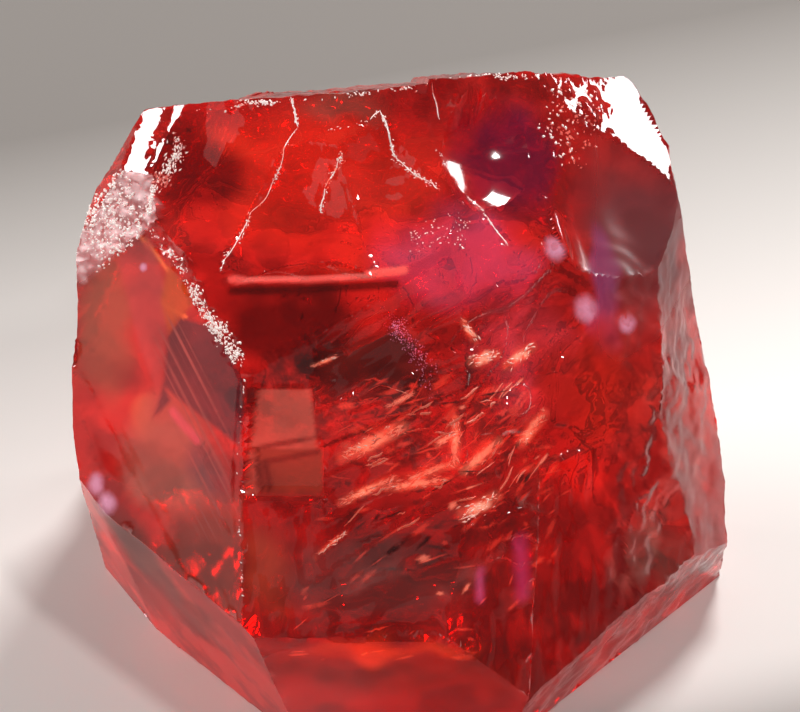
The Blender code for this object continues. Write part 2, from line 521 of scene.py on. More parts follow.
# bruised line: its path, its half-width and the depth of its pits
BRUISES = [
    (HINGE, 0.20, 0.05),
    (LONG_RIDGE, 0.10, 0.04),
    (SHORT_RIDGE, 0.10, 0.04),
    (CROWN_RIDGE, 0.10, 0.04),
    (SCOOP_RIM, 0.10, 0.03),
    (CORNER_RIM, 0.12, 0.04),
]
print(len(BLOWS), "blows and", len(BRUISES), "bruised lines")

# %% Masks: how much of each kind of surface each point has
x, z = skin[:, 0], skin[:, 2]
front = on("front", "right_front", "lower_right_front", "upper_right_front")
torn = front * fade(x, full=-1.0, none=-1.5) * fade(x, full=2.6, none=3.6) * fade(z, full=6.3, none=6.9)
lumpy = np.maximum(
    on("right_edge", "edge_chip", "low_hollow", "right", "lower_right_bevel"),
    on("lower_right_front", "right_ledge", "right_front") * fade(x, full=3.4, none=3.0),
)
ribbed = on("right_front", "lower_right_front", "right_ledge")
ribbed = ribbed * fade(z, full=3.4, none=4.2) * fade(x, full=0.9, none=0.5)
rough_fracture = on(
    "left_hollow", "lower_left_hollow", "back_left_hollow", "back_left_chip", "back_right_hollow",
    "back_right_chip", "top_hollow", "top_chip", "back_foot_hollow", "back_foot_chip",
)
grained = on("top", "top_terrace", "top_left", "back", "back_terrace")
scoops = on("left_scoop", "middle_scoop", "inner_scoop")
flat = on("growth_window", "window_step")
print("the torn front covers", round(100 * torn.mean(), 1), "percent of the points")


# %% Relief of grown faces
# in every kind of relief, a term is its height in millimetres times a field, and the field has its own size
def grown_relief(points):
    """Sway everywhere, straight lines on the left face, and a fine tooth on the top and back."""
    height = 0.008 * ripples(points, size=1.8, seed=1) + 0.002 * ripples(points, size=0.7, seed=2)
    fine = 0.0012 * lines(points, ACROSS_GROWTH, size=0.10, seed=51)
    height += on("left_front") * (fine + 0.003 * lines(points, ACROSS_GROWTH, size=0.6, seed=52))
    return height + grained * 0.01 * broken(points, size=0.5, seed=95)


# %% Relief of broken faces
def front_relief(points):
    """Streaks in steps on the torn front, faint ones below, and upright ribs on its right."""
    height = torn * 0.030 * streak_field(points, size=2.2, seed=11, octaves=2)
    steps = terraces(0.75 * streak_field(points, size=1.7, seed=14, octaves=2), softness=0.12)
    height += torn * (0.034 * steps - 0.01)
    height += torn * 0.0035 * streak_field(points, size=0.30, seed=17, octaves=2)
    low_left = on("front") * fade(x, full=-1.2, none=-0.8) * fade(z, full=4.1, none=4.5)
    height += low_left * 0.006 * broken(points * (1, 0.4, 0.4), size=0.5, seed=21, octaves=3)
    return height + ribbed * 0.007 * broken(points * (1, 0.3, 0.12), size=0.5, seed=31, octaves=3)


def broken_relief(points):
    """The front, lumps on the right, steps and rings in the scoops, and plain fracture behind."""
    height = front_relief(points)
    lumps = 0.018 * ripples(points, size=1.0, seed=41) + 0.010 * broken(points, size=0.45, seed=42)
    height += lumpy * lumps
    shells = broken(points * (1, 0.6, 0.6), size=1.3, seed=87, octaves=3)
    height += scoops * 0.004 * terraces(1.4 * shells, softness=0.14)
    for index, (name, blow) in enumerate(BLOWS.items()):
        height += on(name) * 0.004 * struck(points, blow, spacing=0.34, seed=70 + index)
        height += on(name) * 0.020 * ripples(points, size=1.1, seed=80 + index)
    steps = terraces(broken(points, size=1.6, seed=92), softness=0.3)
    return height + rough_fracture * (0.02 * ripples(points, size=1.3, seed=91) + 0.03 * steps)


# %% Relief of wear
def pits(points, size, seed, full, none):
    """1 in the middle of each pit or crumb, 0 between them: grains, faded by their distance."""
    return fade(grains(points, size, seed), full, none)


def worn_relief(points):
    """Frost pits, a groove along the lower hinge and in the bright corner, crumbs beside the right one,
    chipped edges, and pits along the bruised lines."""
    frost = on("frosted_corner")
    frosting = -0.02 * pits(points, size=0.15, seed=61, full=0.1, none=0.6)
    height = frost * (frosting + 0.006 * ripples(points, size=0.2, seed=62))
    height -= 0.015 * fade(from_path(points, LOWER_HINGE), full=0.03, none=0.15)
    groove = on("bright_corner") * fade(from_path(points, CORNER_GROOVE), full=0.03, none=0.11)
    height -= groove * (0.02 + 0.05 * pits(points, size=0.18, seed=66, full=0.2, none=0.7))
    glitter = on("bright_right_corner", "upper_right_front") * fade(x, full=3.0, none=3.5)
    glitter = glitter * fade(x, full=2.3, none=1.9)
    height += glitter * 0.06 * pits(points, size=0.24, seed=64, full=0.1, none=0.7)
    height -= on_edge * 0.012 * np.clip(ripples(points, size=0.35, seed=101), 0, 2)
    for index, (path, width, depth) in enumerate(BRUISES):
        bruise = fade(from_path(points, path), full=0.25 * width, none=width)
        height -= bruise * depth * pits(points, size=0.14, seed=110 + index, full=0.15, none=0.7)
    return height


# %% Move the skin by its relief
# how much of the relief the flat growth window is spared
WINDOW_CALM, WINDOW_UNWORN = 0.93, 0.6
height = settle(grown_relief(skin) + broken_relief(skin)) * (1 - WINDOW_CALM * flat)
height += worn_relief(skin) * (1 - WINDOW_UNWORN * flat)
height = np.where(on("foot") > 0, 0, height)
relief_skin = skin + rays * height[:, None]
print("relief from", round(height.min(), 3), "to", round(height.max(), 3), "mm")

# %% [markdown]
# ## Zones of colour
# Ruby is never one red. Each zone tints the skin: orange, magenta round the heart, violet and brown where
# veils hang inside, and dark. The orange stands for thin places, so it is painted light. The dark stands for
# places where no light comes back, so it is painted shade. Each zone is an ellipsoid whose border is bent by
# ripples. Besides its tint, each zone adds a glow: painted light on a stone that is no lamp. Patches with
# straight sides, thin bands and the painted light of the bright cracks are laid over the zones.

# %% Where cracks throw back painted light
# crack: where it starts and ends in the view, its half-width in millimetres, how many splinters
CRACK_PLACES = [
    ((342, 458), (404, 428), 0.100, 70),
    ((340, 503), (396, 480), 0.060, 60),
    ((386, 490), (444, 481), 0.060, 60),
    ((455, 465), (457, 420), 0.065, 40),
    ((465, 472), (499, 442), 0.090, 40),
    ((522, 444), (545, 415), 0.095, 40),
    ((464, 519), (497, 499), 0.100, 50),
    ((473, 362), (499, 354), 0.085, 40),
    ((509, 366), (536, 346), 0.075, 30),
    ((316, 557), (345, 535), 0.020, 40),
    ((388, 408), (414, 393), 0.035, 40),
    ((412, 479), (456, 463), 0.055, 40),
    ((437, 446), (452, 436), 0.040, 20),
    ((311, 366), (334, 357), 0.025, 20),
    ((464, 322), (479, 341), 0.050, 20),
]
CRACKS = [(*skin_at([start, end]), width, count) for start, end, width, count in CRACK_PLACES]
print(len(CRACKS), "bright cracks")

# %% Where the stone changes colour
# the plain glow is painted light, a faint red over the whole skin
PLAIN_TINT, PLAIN_PAINTED_GLOW = (0.90, 0.14, 0.10), (0.04, 0.001, 0.001)
# zone: its middle and half-sizes in millimetres, its tint, its glow of painted light, how strong it is
ZONES = {
    "scoop_red": ((-1.5, 0.4, 7.7), (1.8, 1.3, 0.9), (1.0, 0.20, 0.10), (0.37, 0.007, 0.002), 0.9),
    "left_scoop_red": ((-2.75, 0.85, 7.8), (0.65, 0.5, 0.5), (1.0, 0.22, 0.10), (0.42, 0.012, 0.004), 0.8),
    "inner_scoop_red": ((-0.6, 0.2, 7.6), (0.7, 0.5, 0.4), (1.0, 0.25, 0.12), (0.34, 0.010, 0.006), 0.8),
    "scoop_shadow": ((-3.2, 0.9, 7.4), (0.6, 0.6, 0.5), (0.25, 0.02, 0.03), (0.02, 0.0, 0.0), 0.9),
    "crown_brown": ((-0.9, 1.35, 8.4), (0.7, 0.4, 0.25), (0.60, 0.30, 0.22), (0.10, 0.03, 0.02), 0.8),
    # painted shade under the shelf: a near-black tint
    "painted_shade_under_shelf": ((-1.70, -1.45, 6.20), (1.25, 0.95, 0.66), (0.06, 0.002, 0.002), (0.030, 0.0, 0.0), 1.0),
    "ember_side": ((-4.10, -1.60, 4.6), (0.45, 0.35, 0.22), (0.6, 0.20, 0.10), (0.34, 0.070, 0.022), 0.6),
    "brown_side": ((-4.70, -0.20, 5.3), (0.5, 0.8, 1.3), (0.22, 0.12, 0.06), (0.19, 0.044, 0.022), 0.85),
    # a painted reflection of the pale room on the left face
    "painted_reflection_side": ((-3.60, -2.20, 4.2), (0.9, 1.0, 0.8), (0.20, 0.16, 0.12), (0.19, 0.060, 0.040), 0.85),
    "mauve_side": ((-2.95, -2.70, 4.1), (0.4, 0.5, 0.5), (0.08, 0.05, 0.07), (0.09, 0.026, 0.028), 0.85),
    "side_foot": ((-4.20, -2.50, 2.5), (0.9, 0.8, 0.6), (0.03, 0.02, 0.015), (0.04, 0.014, 0.009), 0.9),
    "side_bevel": ((-3.50, -3.0, 1.9), (1.0, 1.0, 0.5), (0.10, 0.02, 0.01), (0.06, 0.006, 0.003), 0.8),
    "magenta_heart": ((0.9, -0.6, 7.0), (1.1, 0.7, 0.7), (0.9, 0.34, 0.50), (0.17, 0.018, 0.055), 0.9),
    "pink_shoulder": ((1.9, -1.3, 5.6), (1.0, 0.8, 0.8), (1.0, 0.42, 0.48), (0.24, 0.022, 0.040), 0.75),
    "right_side": ((4.2, -0.8, 3.6), (0.9, 0.9, 1.2), (0.40, 0.12, 0.10), (0.09, 0.024, 0.019), 0.75),
    "front_red": ((0.2, -2.6, 4.9), (1.3, 0.9, 1.0), (1.0, 0.22, 0.18), (0.17, 0.004, 0.004), 0.8),
    "violet_scoop": ((1.6, 0.9, 7.7), (0.9, 0.8, 0.8), (0.20, 0.04, 0.14), (0.04, 0.002, 0.018), 0.9),
    "dark_shoulder": ((3.8, 1.0, 6.1), (1.2, 1.3, 1.3), (0.06, 0.02, 0.025), (0.045, 0.014, 0.017), 0.92),
    "violet_band": ((3.05, 0.15, 6.0), (0.24, 0.7, 1.2), (0.16, 0.06, 0.22), (0.11, 0.040, 0.13), 0.7),
    "orange_right": ((3.0, -1.0, 4.8), (1.0, 0.8, 0.8), (0.7, 0.10, 0.03), (0.12, 0.004, 0.001), 0.8),
    "mauve_low": ((-0.4, -4.0, 3.3), (1.5, 0.7, 0.5), (0.12, 0.07, 0.07), (0.10, 0.030, 0.026), 0.85),
    "orange_low": ((-2.1, -3.9, 3.4), (0.4, 0.7, 0.7), (0.40, 0.10, 0.05), (0.22, 0.024, 0.010), 0.85),
    "brown_foot": ((4.1, -2.0, 2.1), (0.9, 0.8, 0.7), (0.25, 0.14, 0.13), (0.10, 0.045, 0.034), 0.8),
    "seam_shade": ((-0.50, -1.75, 6.05), (0.75, 0.45, 0.40), (0.16, 0.02, 0.02), (0.12, 0.006, 0.004), 0.85),
    "foot_red": ((-0.1, -4.6, 1.9), (2.6, 0.5, 0.6), (0.20, 0.015, 0.005), (0.12, 0.003, 0.001), 0.85),
    "foot_glow": ((-0.1, -4.55, 2.35), (1.1, 0.3, 0.22), (1.0, 0.25, 0.06), (0.34, 0.016, 0.001), 0.9),
}
print(len(ZONES), "zones of colour")

# %% Patches, bands and lines over the zones
# the left face shows straight-sided patches: a tongue, a wedge with a tip, and an orange corner
# patch: its corners in order in the view, its tint, its glow of painted light, how strong it is, how soft its
# border is
PATCHES = {
    "tongue": ([(118, 262), (130, 240), (150, 242), (166, 288), (166, 333), (158, 395), (140, 350)],
               (0.45, 0.10, 0.09), (0.26, 0.028, 0.026), 0.8, 0.06),
    "orange_corner": ([(168, 264), (188, 290), (192, 305), (168, 333), (160, 300)],
                      (0.6, 0.22, 0.04), (0.24, 0.040, 0.005), 0.9, 0.05),
    "wedge": ([(181, 318), (167, 337), (163, 385), (239, 447), (250, 381), (211, 326)],
              (0.03, 0.012, 0.018), (0.075, 0.010, 0.014), 0.93, 0.04),
    # painted shade low on the left side
    "painted_shade_low_side": ([(178, 515), (243, 495), (243, 645), (150, 560)],
                 (0.03, 0.008, 0.004), (0.16, 0.020, 0.012), 0.97, 0.25),
    "wedge_tip": ([(163, 384), (154, 419), (172, 400)],
                  (0.03, 0.012, 0.018), (0.075, 0.010, 0.014), 0.93, 0.04),
}
# band: its path in the view, where it is full and where it ends, its tint, its glow of painted light, how
# strong it is
BANDS = [
    # a painted highlight along the lip of the shelf
    ([(232, 279), (262, 279), (310, 279), (360, 276), (404, 270)], 0.03, 0.10, (1.0, 0.45, 0.38),
     (0.62, 0.090, 0.075), 0.9),
    # painted shade just under the lip of the shelf
    ([(232, 291), (310, 290), (395, 284)], 0.03, 0.11, (0.02, 0.001, 0.001), (0.01, 0.0, 0.0), 0.9),
    ([(520, 540), (523, 596)], -0.05, 0.24, (1.0, 0.3, 0.6), (0.42, 0.03, 0.13), 0.85),
    ([(482, 574), (481, 602)], -0.05, 0.15, (1.0, 0.4, 0.7), (0.50, 0.07, 0.20), 0.85),
    ([(162, 304), (174, 311), (186, 317)], 0.015, 0.05, (1.0, 0.5, 0.15), (0.70, 0.14, 0.03), 0.9),
    ([(142, 238), (152, 250), (167, 271)], 0.015, 0.05, (1.0, 0.5, 0.2), (0.60, 0.12, 0.03), 0.8),
    ([(174, 412), (196, 440)], 0.02, 0.12, (0.8, 0.3, 0.4), (0.26, 0.04, 0.06), 0.8),
]
# thin dark lines where one growth layer stops on another, also in the view
STEP_LINES = [
    [(262, 486), (255, 448), (320, 437)],
    [(270, 487), (265, 462), (318, 452)],
]
# the growth ledges carry a painted reflection, edge to edge: their tint and their glow of painted light
LEDGE_PAINTED_REFLECTIONS = {
    "growth_window": ((0.16, 0.08, 0.06), (0.38, 0.050, 0.034)),
    "window_step": ((0.10, 0.05, 0.03), (0.20, 0.020, 0.010)),
}
# fine marks: their tint and glow. The dark streaks are painted shade and the ribs are darker lines, the
# cracks are painted light, the frost has a pale tint of its own with a faint painted glow, and its specks are
# painted glints
PAINTED_STREAK_SHADE_AND_DARK_RIBS = ((0.22, 0.02, 0.02), (0.03, 0.001, 0.001))
CRACK_PAINTED_LIGHT = ((1.0, 0.62, 0.50), (0.26, 0.036, 0.018))
STEP_COLOURS = ((0.10, 0.02, 0.01), (0.06, 0.004, 0.002))
FROST_COLOURS = ((0.75, 0.50, 0.48), (0.09, 0.05, 0.05))
SPECKLE_PAINTED_GLINTS = ((1.0, 0.96, 0.95), (0.50, 0.42, 0.42))
# inside a cloud the plain tint turns to this, and outside it the plain glow of painted light gains this
CLOUD_TINT = np.array([0.55, 0.06, 0.05])
CLEAR_PAINTED_GLOW = np.array([0.08, 0.001, 0.001])
print(len(PATCHES), "patches,", len(BANDS), "bands and", len(STEP_LINES), "step lines")


# %% Masks of colour
def within_ledge(points, name, border=0.04):
    """How far inside all the sides of a ledge: min(n . (p - seed) - q) over its sides, as a soft mask."""
    inside = [(points - SEED) @ toward(bearing, tilt) - side for bearing, tilt, side in LEDGES[name][2]]
    return fade(np.min(inside, axis=0), border, -0.2 * border)


def within_corners(points, corners, border):
    """How far inside a shape with these corners, seen from the front: the least cross(side, p - corner)
    over its sides, softened."""
    shown = points @ np.stack([RIGHT, FRONT_UP], axis=1)
    drawn = corners @ np.stack([RIGHT, FRONT_UP], axis=1)
    sides = np.roll(drawn, -1, axis=0) - drawn
    steps = shown[:, None] - drawn
    inside = (sides[:, 0] * steps[..., 1] - sides[:, 1] * steps[..., 0]) / np.linalg.norm(sides, axis=1)
    middle = drawn.mean(axis=0) - drawn[0]
    turn = np.sign(sides[0, 0] * middle[1] - sides[0, 1] * middle[0])
    return fade((turn * inside).min(axis=1), border, -border)


def zone_mask(points, middle, half, softness=0.45):
    """1 inside the ellipsoid |(p - middle) / half| = 1, 0 outside it, with a soft border."""
    far = np.linalg.norm((points - np.array(middle)) / np.array(half), axis=1)
    return fade(far, 1 - softness, 1 + softness)


# %% Layers of colour
# every layer is its mask, its tint and its glow of painted light
def broad_layers(points):
    """Zones on bent coordinates, bands along their paths, and patches on the left face."""
    warp = [0.10 * broken(points, size=1.5, seed=600 + 10 * axis, octaves=2) for axis in range(3)]
    bent = points + np.stack(warp, axis=1)
    side = on("left_front")
    layers = []
    for middle, half, tint, painted_glow, strength in ZONES.values():
        layers.append((strength * zone_mask(bent, middle, half), tint, painted_glow))
    for path, full, none, tint, painted_glow, strength in BANDS:
        layers.append((strength * fade(from_path(points, skin_at(path)), full, none), tint, painted_glow))
    for corners, tint, painted_glow, strength, border in PATCHES.values():
        inside = within_corners(points, skin_at(corners), border)
        layers.append((side * strength * inside, tint, painted_glow))
    return layers


def fine_layers(points):
    """Painted shade in dark streaks, darker ribs, painted light over bright cracks, a painted reflection on
    the growth window, and frost with painted glints.
    """
    streaks = 0.5 * torn * fade(streak_field(points, size=0.9, seed=660, octaves=4), full=-0.2, none=1.2)
    ribs = fade(broken(points * (1, 1, 0.3), size=0.6, seed=670, octaves=3), full=0, none=1.4)
    layers = [(np.maximum(streaks, 0.5 * (lumpy + ribbed) * ribs), *PAINTED_STREAK_SHADE_AND_DARK_RIBS)]
    over = [fade(from_path(points, crack[:2]), 0.4 * crack[2], 1.5 * crack[2]) for crack in CRACKS]
    frayed = 0.55 + 0.45 * fade(streak_field(points, size=0.30, seed=680, octaves=3), full=-0.6, none=0.6)
    layers.append((0.9 * frayed * np.max(over, axis=0), *CRACK_PAINTED_LIGHT))
    fronts = on("front", "growth_window", "growth_window_side", "window_step", "window_step_side")
    for name, colours in LEDGE_PAINTED_REFLECTIONS.items():
        layers.append((fronts * within_ledge(points, name), *colours))
    for path in STEP_LINES:
        along = fade(from_path(points, skin_at(path)), full=0.02, none=0.07)
        layers.append((0.8 * flat * along, *STEP_COLOURS))
    frosted = on("frosted_corner")
    layers.append((frosted, *FROST_COLOURS))
    layers.append((frosted * pits(points, size=0.16, seed=65, full=0.15, none=0.55), *SPECKLE_PAINTED_GLINTS))
    return layers


# %% Tint and glow of the skin
def zone_colours(points):
    """Tint and painted glow at each point: c + mask (layer - c), layer after layer, over the plain ones."""
    cloud = fade(broken(points, size=1.6, seed=640, octaves=6), full=0.9, none=-0.9)[:, None]
    tint = PLAIN_TINT + cloud * (CLOUD_TINT - PLAIN_TINT)
    painted_glow = PLAIN_PAINTED_GLOW + (1 - cloud) * CLEAR_PAINTED_GLOW
    for mask, over_tint, over_painted_glow in broad_layers(points) + fine_layers(points):
        mask = mask[:, None]
        mottled = (1.05 - 0.3 * cloud) * np.array(over_painted_glow)
        tint, painted_glow = tint + mask * (np.array(over_tint) - tint), painted_glow + mask * (mottled - painted_glow)
    return tint, painted_glow


tint, painted_glow = zone_colours(skin)
print("the mean tint is", tint.mean(axis=0).round(2), "and the mean glow", painted_glow.mean(axis=0).round(3))

# %% [markdown]
# ## The stone's mesh
# The arrays go straight into a Blender mesh. Shading is smooth inside a face and sharp where two faces meet
# at more than 24 degrees, so curved dishes look curved and crystal edges stay crisp. Colours and masks ride
# along as attributes, because the finish of a crystal face ends exactly where the face ends.

# %% From arrays to a mesh
def mesh_from(name, points, faces):
    """A mesh object from arrays of points in millimetres and of faces."""
    mesh = bpy.data.meshes.new(name)
    mesh.vertices.add(len(points))
    mesh.vertices.foreach_set("co", (points * MM).astype(np.float32).ravel())
    mesh.loops.add(faces.size)
    mesh.loops.foreach_set("vertex_index", faces.astype(np.int32).ravel())
    mesh.polygons.add(len(faces))
    mesh.polygons.foreach_set("loop_start", np.arange(0, faces.size, faces.shape[1], dtype=np.int32))
    mesh.update(calc_edges=True)
    made = bpy.data.objects.new(name, mesh)
    bpy.context.scene.collection.objects.link(made)
    return made


def add_mask(piece, name, values):
    """Keep one number for each point of a piece, for its material to read."""
    mask = piece.data.attributes.new(name, "FLOAT", "POINT")
    mask.data.foreach_set("value", values.astype(np.float32))


def add_colour(piece, name, values):
    """Keep one colour for each point of a piece, for its material to read."""
    colour = piece.data.attributes.new(name, "FLOAT_COLOR", "POINT")
    opaque = np.concatenate([values, np.ones((len(values), 1))], axis=1)
    colour.data.foreach_set("color", opaque.astype(np.float32).ravel())


# %% Make the stone
SHARP_ANGLE = 24
stone = mesh_from("ruby_stone", relief_skin, triangles)
stone.data.shade_smooth()
stone.data.set_sharp_from_angle(angle=math.radians(SHARP_ANGLE))
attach(stone, "root")
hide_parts("ruby_crystal")
print("the stone has", len(triangles), "triangles")

# %% Masks of its finish: frost, milk and fine lines
bruises = [fade(from_path(skin, path), 0.2 * width, 0.8 * width) for path, width, _ in BRUISES]
shoulder = on("shoulder_hollow", "upper_right_front", "right_front", "right_edge", "upper_right", "edge_chip")
# how milky each face looks, where 1 is a little and 3 the most
milk = 0.6 * on("left_front") + 0.7 * on("dark_scoop") + 1.2 * on("foot_front")
milk += 2.4 * shoulder * fade(x, full=3.4, none=2.2) * fade(z, full=5.4, none=4.4)
milk += 2.0 * on("lower_left_bevel", "lower_left_corner") + 1.0 * on("right_edge")
milk = np.clip(milk + 0.8 * lumpy + 0.5 * flat + 0.5 * ribbed, 0, 3)
add_mask(stone, "frost", np.maximum(on("frosted_corner"), 0.4 * np.max(bruises, axis=0)))
add_mask(stone, "milk", milk)
add_mask(stone, "lined", on("left_front") * fade(from_path(skin, GROWTH_LINES), full=0.15, none=0.6))
add_colour(stone, "tint", tint)
add_colour(stone, "painted_glow", painted_glow)
print("milk from", milk.min().round(2), "to", milk.max().round(2))

# %% [markdown]
# ## Mottling, as a shader group
# Splinters and veils look cloudy close up. One node group makes that cloudiness: noise on the object's own
# coordinates, so many clouds to the millimetre, stretched between a low and a high limit. Each material
# places the group with its own values.

# %% Node helpers and the mottle group
def wire(tree, kind, inputs=None, **settings):
    """Add a node, set its properties, and fill its sockets with values or links."""
    node = tree.nodes.new(kind)
    for key, value in settings.items():
        setattr(node, key, value)
    for key, value in (inputs or {}).items():
        if isinstance(value, bpy.types.NodeSocket):
            tree.links.new(value, node.inputs[key])
        else:
            node.inputs[key].default_value = value
    return node


def mottle_group():
    """A mask from 0 to 1: noise with so many clouds to the millimetre, stretched between two limits."""
    group = bpy.data.node_groups.new("mottle", "ShaderNodeTree")
    for name in ("Clouds per Millimetre", "Low", "High"):
        group.interface.new_socket(name, in_out="INPUT", socket_type="NodeSocketFloat")
    group.interface.new_socket("Mask", in_out="OUTPUT", socket_type="NodeSocketFloat")
    given = group.nodes.new("NodeGroupInput").outputs
    there = wire(group, "ShaderNodeTexCoord")
    scale = wire(group, "ShaderNodeMath", {0: given["Clouds per Millimetre"], 1: 1 / MM},
                 operation="MULTIPLY")
    noise = wire(group, "ShaderNodeTexNoise", {"Vector": there.outputs["Object"], "Scale": scale.outputs[0],
                 "Detail": 3.0, "Roughness": 0.65})
    mask = wire(group, "ShaderNodeMapRange", {"Value": noise.outputs["Fac"], "From Min": given["Low"],
                "From Max": given["High"]})
    out = group.nodes.new("NodeGroupOutput")
    group.links.new(mask.outputs["Result"], out.inputs["Mask"])
    return group


MOTTLE = mottle_group()
print("the mottle group has", len(MOTTLE.nodes), "nodes")


# %% Colours, masks and plain values in a material
def mottle(tree, per_millimetre, low=0.35, high=0.65):
    """Place the mottle group and return its mask."""
    placed = wire(tree, "ShaderNodeGroup", {}, node_tree=MOTTLE)
    placed.inputs["Clouds per Millimetre"].default_value = per_millimetre
    placed.inputs["Low"].default_value = low
    placed.inputs["High"].default_value = high
    return placed.outputs["Mask"]


def mix_in(tree, under, mask, over):
    """Lay a colour over another by a mask."""
    mixed = wire(tree, "ShaderNodeMix", data_type="RGBA")
    for socket, value in ((mixed.inputs[0], mask), (mixed.inputs[6], under), (mixed.inputs[7], over)):
        if isinstance(value, bpy.types.NodeSocket):
            tree.links.new(value, socket)
        else:
            socket.default_value = value
    return mixed.outputs[2]


def times(tree, value, factor):
    """A value times another value or a plain number."""
    return wire(tree, "ShaderNodeMath", {0: value, 1: factor}, operation="MULTIPLY").outputs[0]


def attribute(tree, name, output="Fac"):
    """What a piece keeps for each of its points under this name."""
    return wire(tree, "ShaderNodeAttribute", attribute_name=name).outputs[output]


def new_material(name, roughness=None, painted_glow=None):
    """A material with a principled surface, and with a plain roughness and a plain painted glow if they are
    given.
    Returns the material, its node tree and the inputs of its surface."""
    material = bpy.data.materials.new(name)
    material.use_nodes = True
    inputs = material.node_tree.nodes["Principled BSDF"].inputs
    if roughness is not None:
        inputs["Roughness"].default_value = roughness
    if painted_glow is not None:
        # a faint painted glow needs no light samples of its own
        material.cycles.emission_sampling = "NONE"
        inputs["Emission Color"].default_value = (*painted_glow, 1)
        inputs["Emission Strength"].default_value = 1.0
    return material, material.node_tree, inputs


# %% Growth lines
def growth_lines(tree, per_millimetre):
    """Fine straight lines where the mask "lined" is: noise of the one coordinate across them."""
    there = wire(tree, "ShaderNodeTexCoord")
    across = wire(tree, "ShaderNodeVectorMath", {0: there.outputs["Object"], 1: tuple(ACROSS_GROWTH / MM)},
                  operation="DOT_PRODUCT").outputs["Value"]
    noise = wire(tree, "ShaderNodeTexNoise", {"W": across, "Scale": per_millimetre, "Detail": 2.0},
                 noise_dimensions="1D")
    fine = wire(tree, "ShaderNodeMapRange", {"Value": noise.outputs["Fac"], "From Min": 0.5,
                "From Max": 0.75})
    return times(tree, fine.outputs["Result"], attribute(tree, "lined"))


# %% [markdown]
# ## Ruby
# The stone is one clear material. Its red comes from absorption, which takes green and blue out of the light
# on its way through. About a twelfth of the light scatters at the skin instead, as it does in a stone full
# of fine cracks. Frost and milk make the skin rougher, which softens what is seen through it.

# %% Ruby
RUBY_IOR = 1.77
CLEAR_SHARE = 0.92
# the stone absorbs (1 - colour) x density of the light for each metre of its way
DEPTH_COLOUR, DEPTH_DENSITY = (0.93, 0.154, 0.077, 1), 650.0
LINES_PER_MILLIMETRE = 14.0
# the growth lines have a paler tint of their own and a glow of painted light
LINE_TINT, LINE_PAINTED_GLOW = (0.30, 0.20, 0.17, 1), (0.13, 0.036, 0.030, 1)
MILK_ROUGHNESS, FROST_ROUGHNESS = 0.15, 0.42


def ruby():
    """Clear red crystal: plain glass values, absorption inside, maps for skin colour and finish, and a
    painted glow.
    """
    material, tree, inputs = new_material("clear_ruby", painted_glow=PLAIN_PAINTED_GLOW)
    inputs["IOR"].default_value = RUBY_IOR
    inputs["Transmission Weight"].default_value = CLEAR_SHARE
    grown = growth_lines(tree, LINES_PER_MILLIMETRE)
    tinted = mix_in(tree, attribute(tree, "tint", "Color"), grown, LINE_TINT)
    tree.links.new(tinted, inputs["Base Color"])
    # the glow is painted light from the skin's zones, brighter on the growth lines
    painted_glowing = mix_in(tree, attribute(tree, "painted_glow", "Color"), grown, LINE_PAINTED_GLOW)
    tree.links.new(painted_glowing, inputs["Emission Color"])
    milky = times(tree, attribute(tree, "milk"), MILK_ROUGHNESS)
    matt = wire(tree, "ShaderNodeMath", {0: attribute(tree, "frost"), 1: FROST_ROUGHNESS, 2: milky},
                operation="MULTIPLY_ADD")
    tree.links.new(matt.outputs[0], inputs["Roughness"])
    depth = wire(tree, "ShaderNodeVolumeAbsorption", {"Color": DEPTH_COLOUR, "Density": DEPTH_DENSITY})
    tree.links.new(depth.outputs["Volume"], tree.nodes["Material Output"].inputs["Volume"])
    return material


stone.data.materials.append(ruby())
print("the stone is made of", stone.data.materials[0].name)

# %% [markdown]
# ## Splinters
# Crushed edges are made of hundreds of tiny splinters. Each is an octahedron, six corners and eight faces,
# stretched along a direction and turned about it at random. One mesh holds a whole line of them. Splinters on
# the ridges stand in the skin and sparkle white, partly from the lamps and partly from a painted glow. Others
# lie just under the front, where they fray the borders of the bright cracks and draw a magenta seam, and glow
# with painted light.

# %% Places on the skin and beside a path
CLUSTER_SPREAD, CLUSTERED_SHARE = 0.09, 0.8


def on_skin(points, depth=0.0):
    """Carry points along their rays to the skin of the facets, or to a depth under it."""
    out = unit(points - SEED)
    return SEED + out * (reach(out)[0] - depth)[:, None]


def along_path(path, count, spread, random, clusters=0):
    """Random places beside a path, with the path's direction at each. They are spread evenly along it, or
    gathered in clusters; each steps aside by a bell-shaped amount."""
    path = np.array(path, float)
    runs = np.diff(path, axis=0)
    ends = np.concatenate([[0], np.cumsum(np.linalg.norm(runs, axis=1))])
    place = random.uniform(0, ends[-1], count)
    if clusters:
        centre = random.uniform(0, ends[-1], clusters)[random.integers(0, clusters, count)]
        gathered = centre + random.normal(size=count) * CLUSTER_SPREAD
        place = np.clip(np.where(random.random(count) < CLUSTERED_SHARE, gathered, place), 0, ends[-1])
    middle = np.stack([np.interp(place, ends, path[:, axis]) for axis in range(3)], axis=1)
    run = np.clip(np.searchsorted(ends, place) - 1, 0, len(runs) - 1)
    return middle + random.normal(size=(count, 3)) * spread, unit(runs[run])


# %% Many small shapes in one mesh
def in_the_stone(name, shapes, faces, material):
    """One piece of many shapes that share their faces: each shape's faces count on from its first point."""
    shapes = np.asarray(shapes)
    counted = faces + shapes.shape[1] * np.arange(len(shapes))[:, None, None]
    piece = mesh_from(name, shapes.reshape(-1, 3), counted.reshape(-1, faces.shape[1]))
    piece.data.materials.append(material)
    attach(piece, "root")
    print(name, "has", len(shapes), "shapes")
    return piece


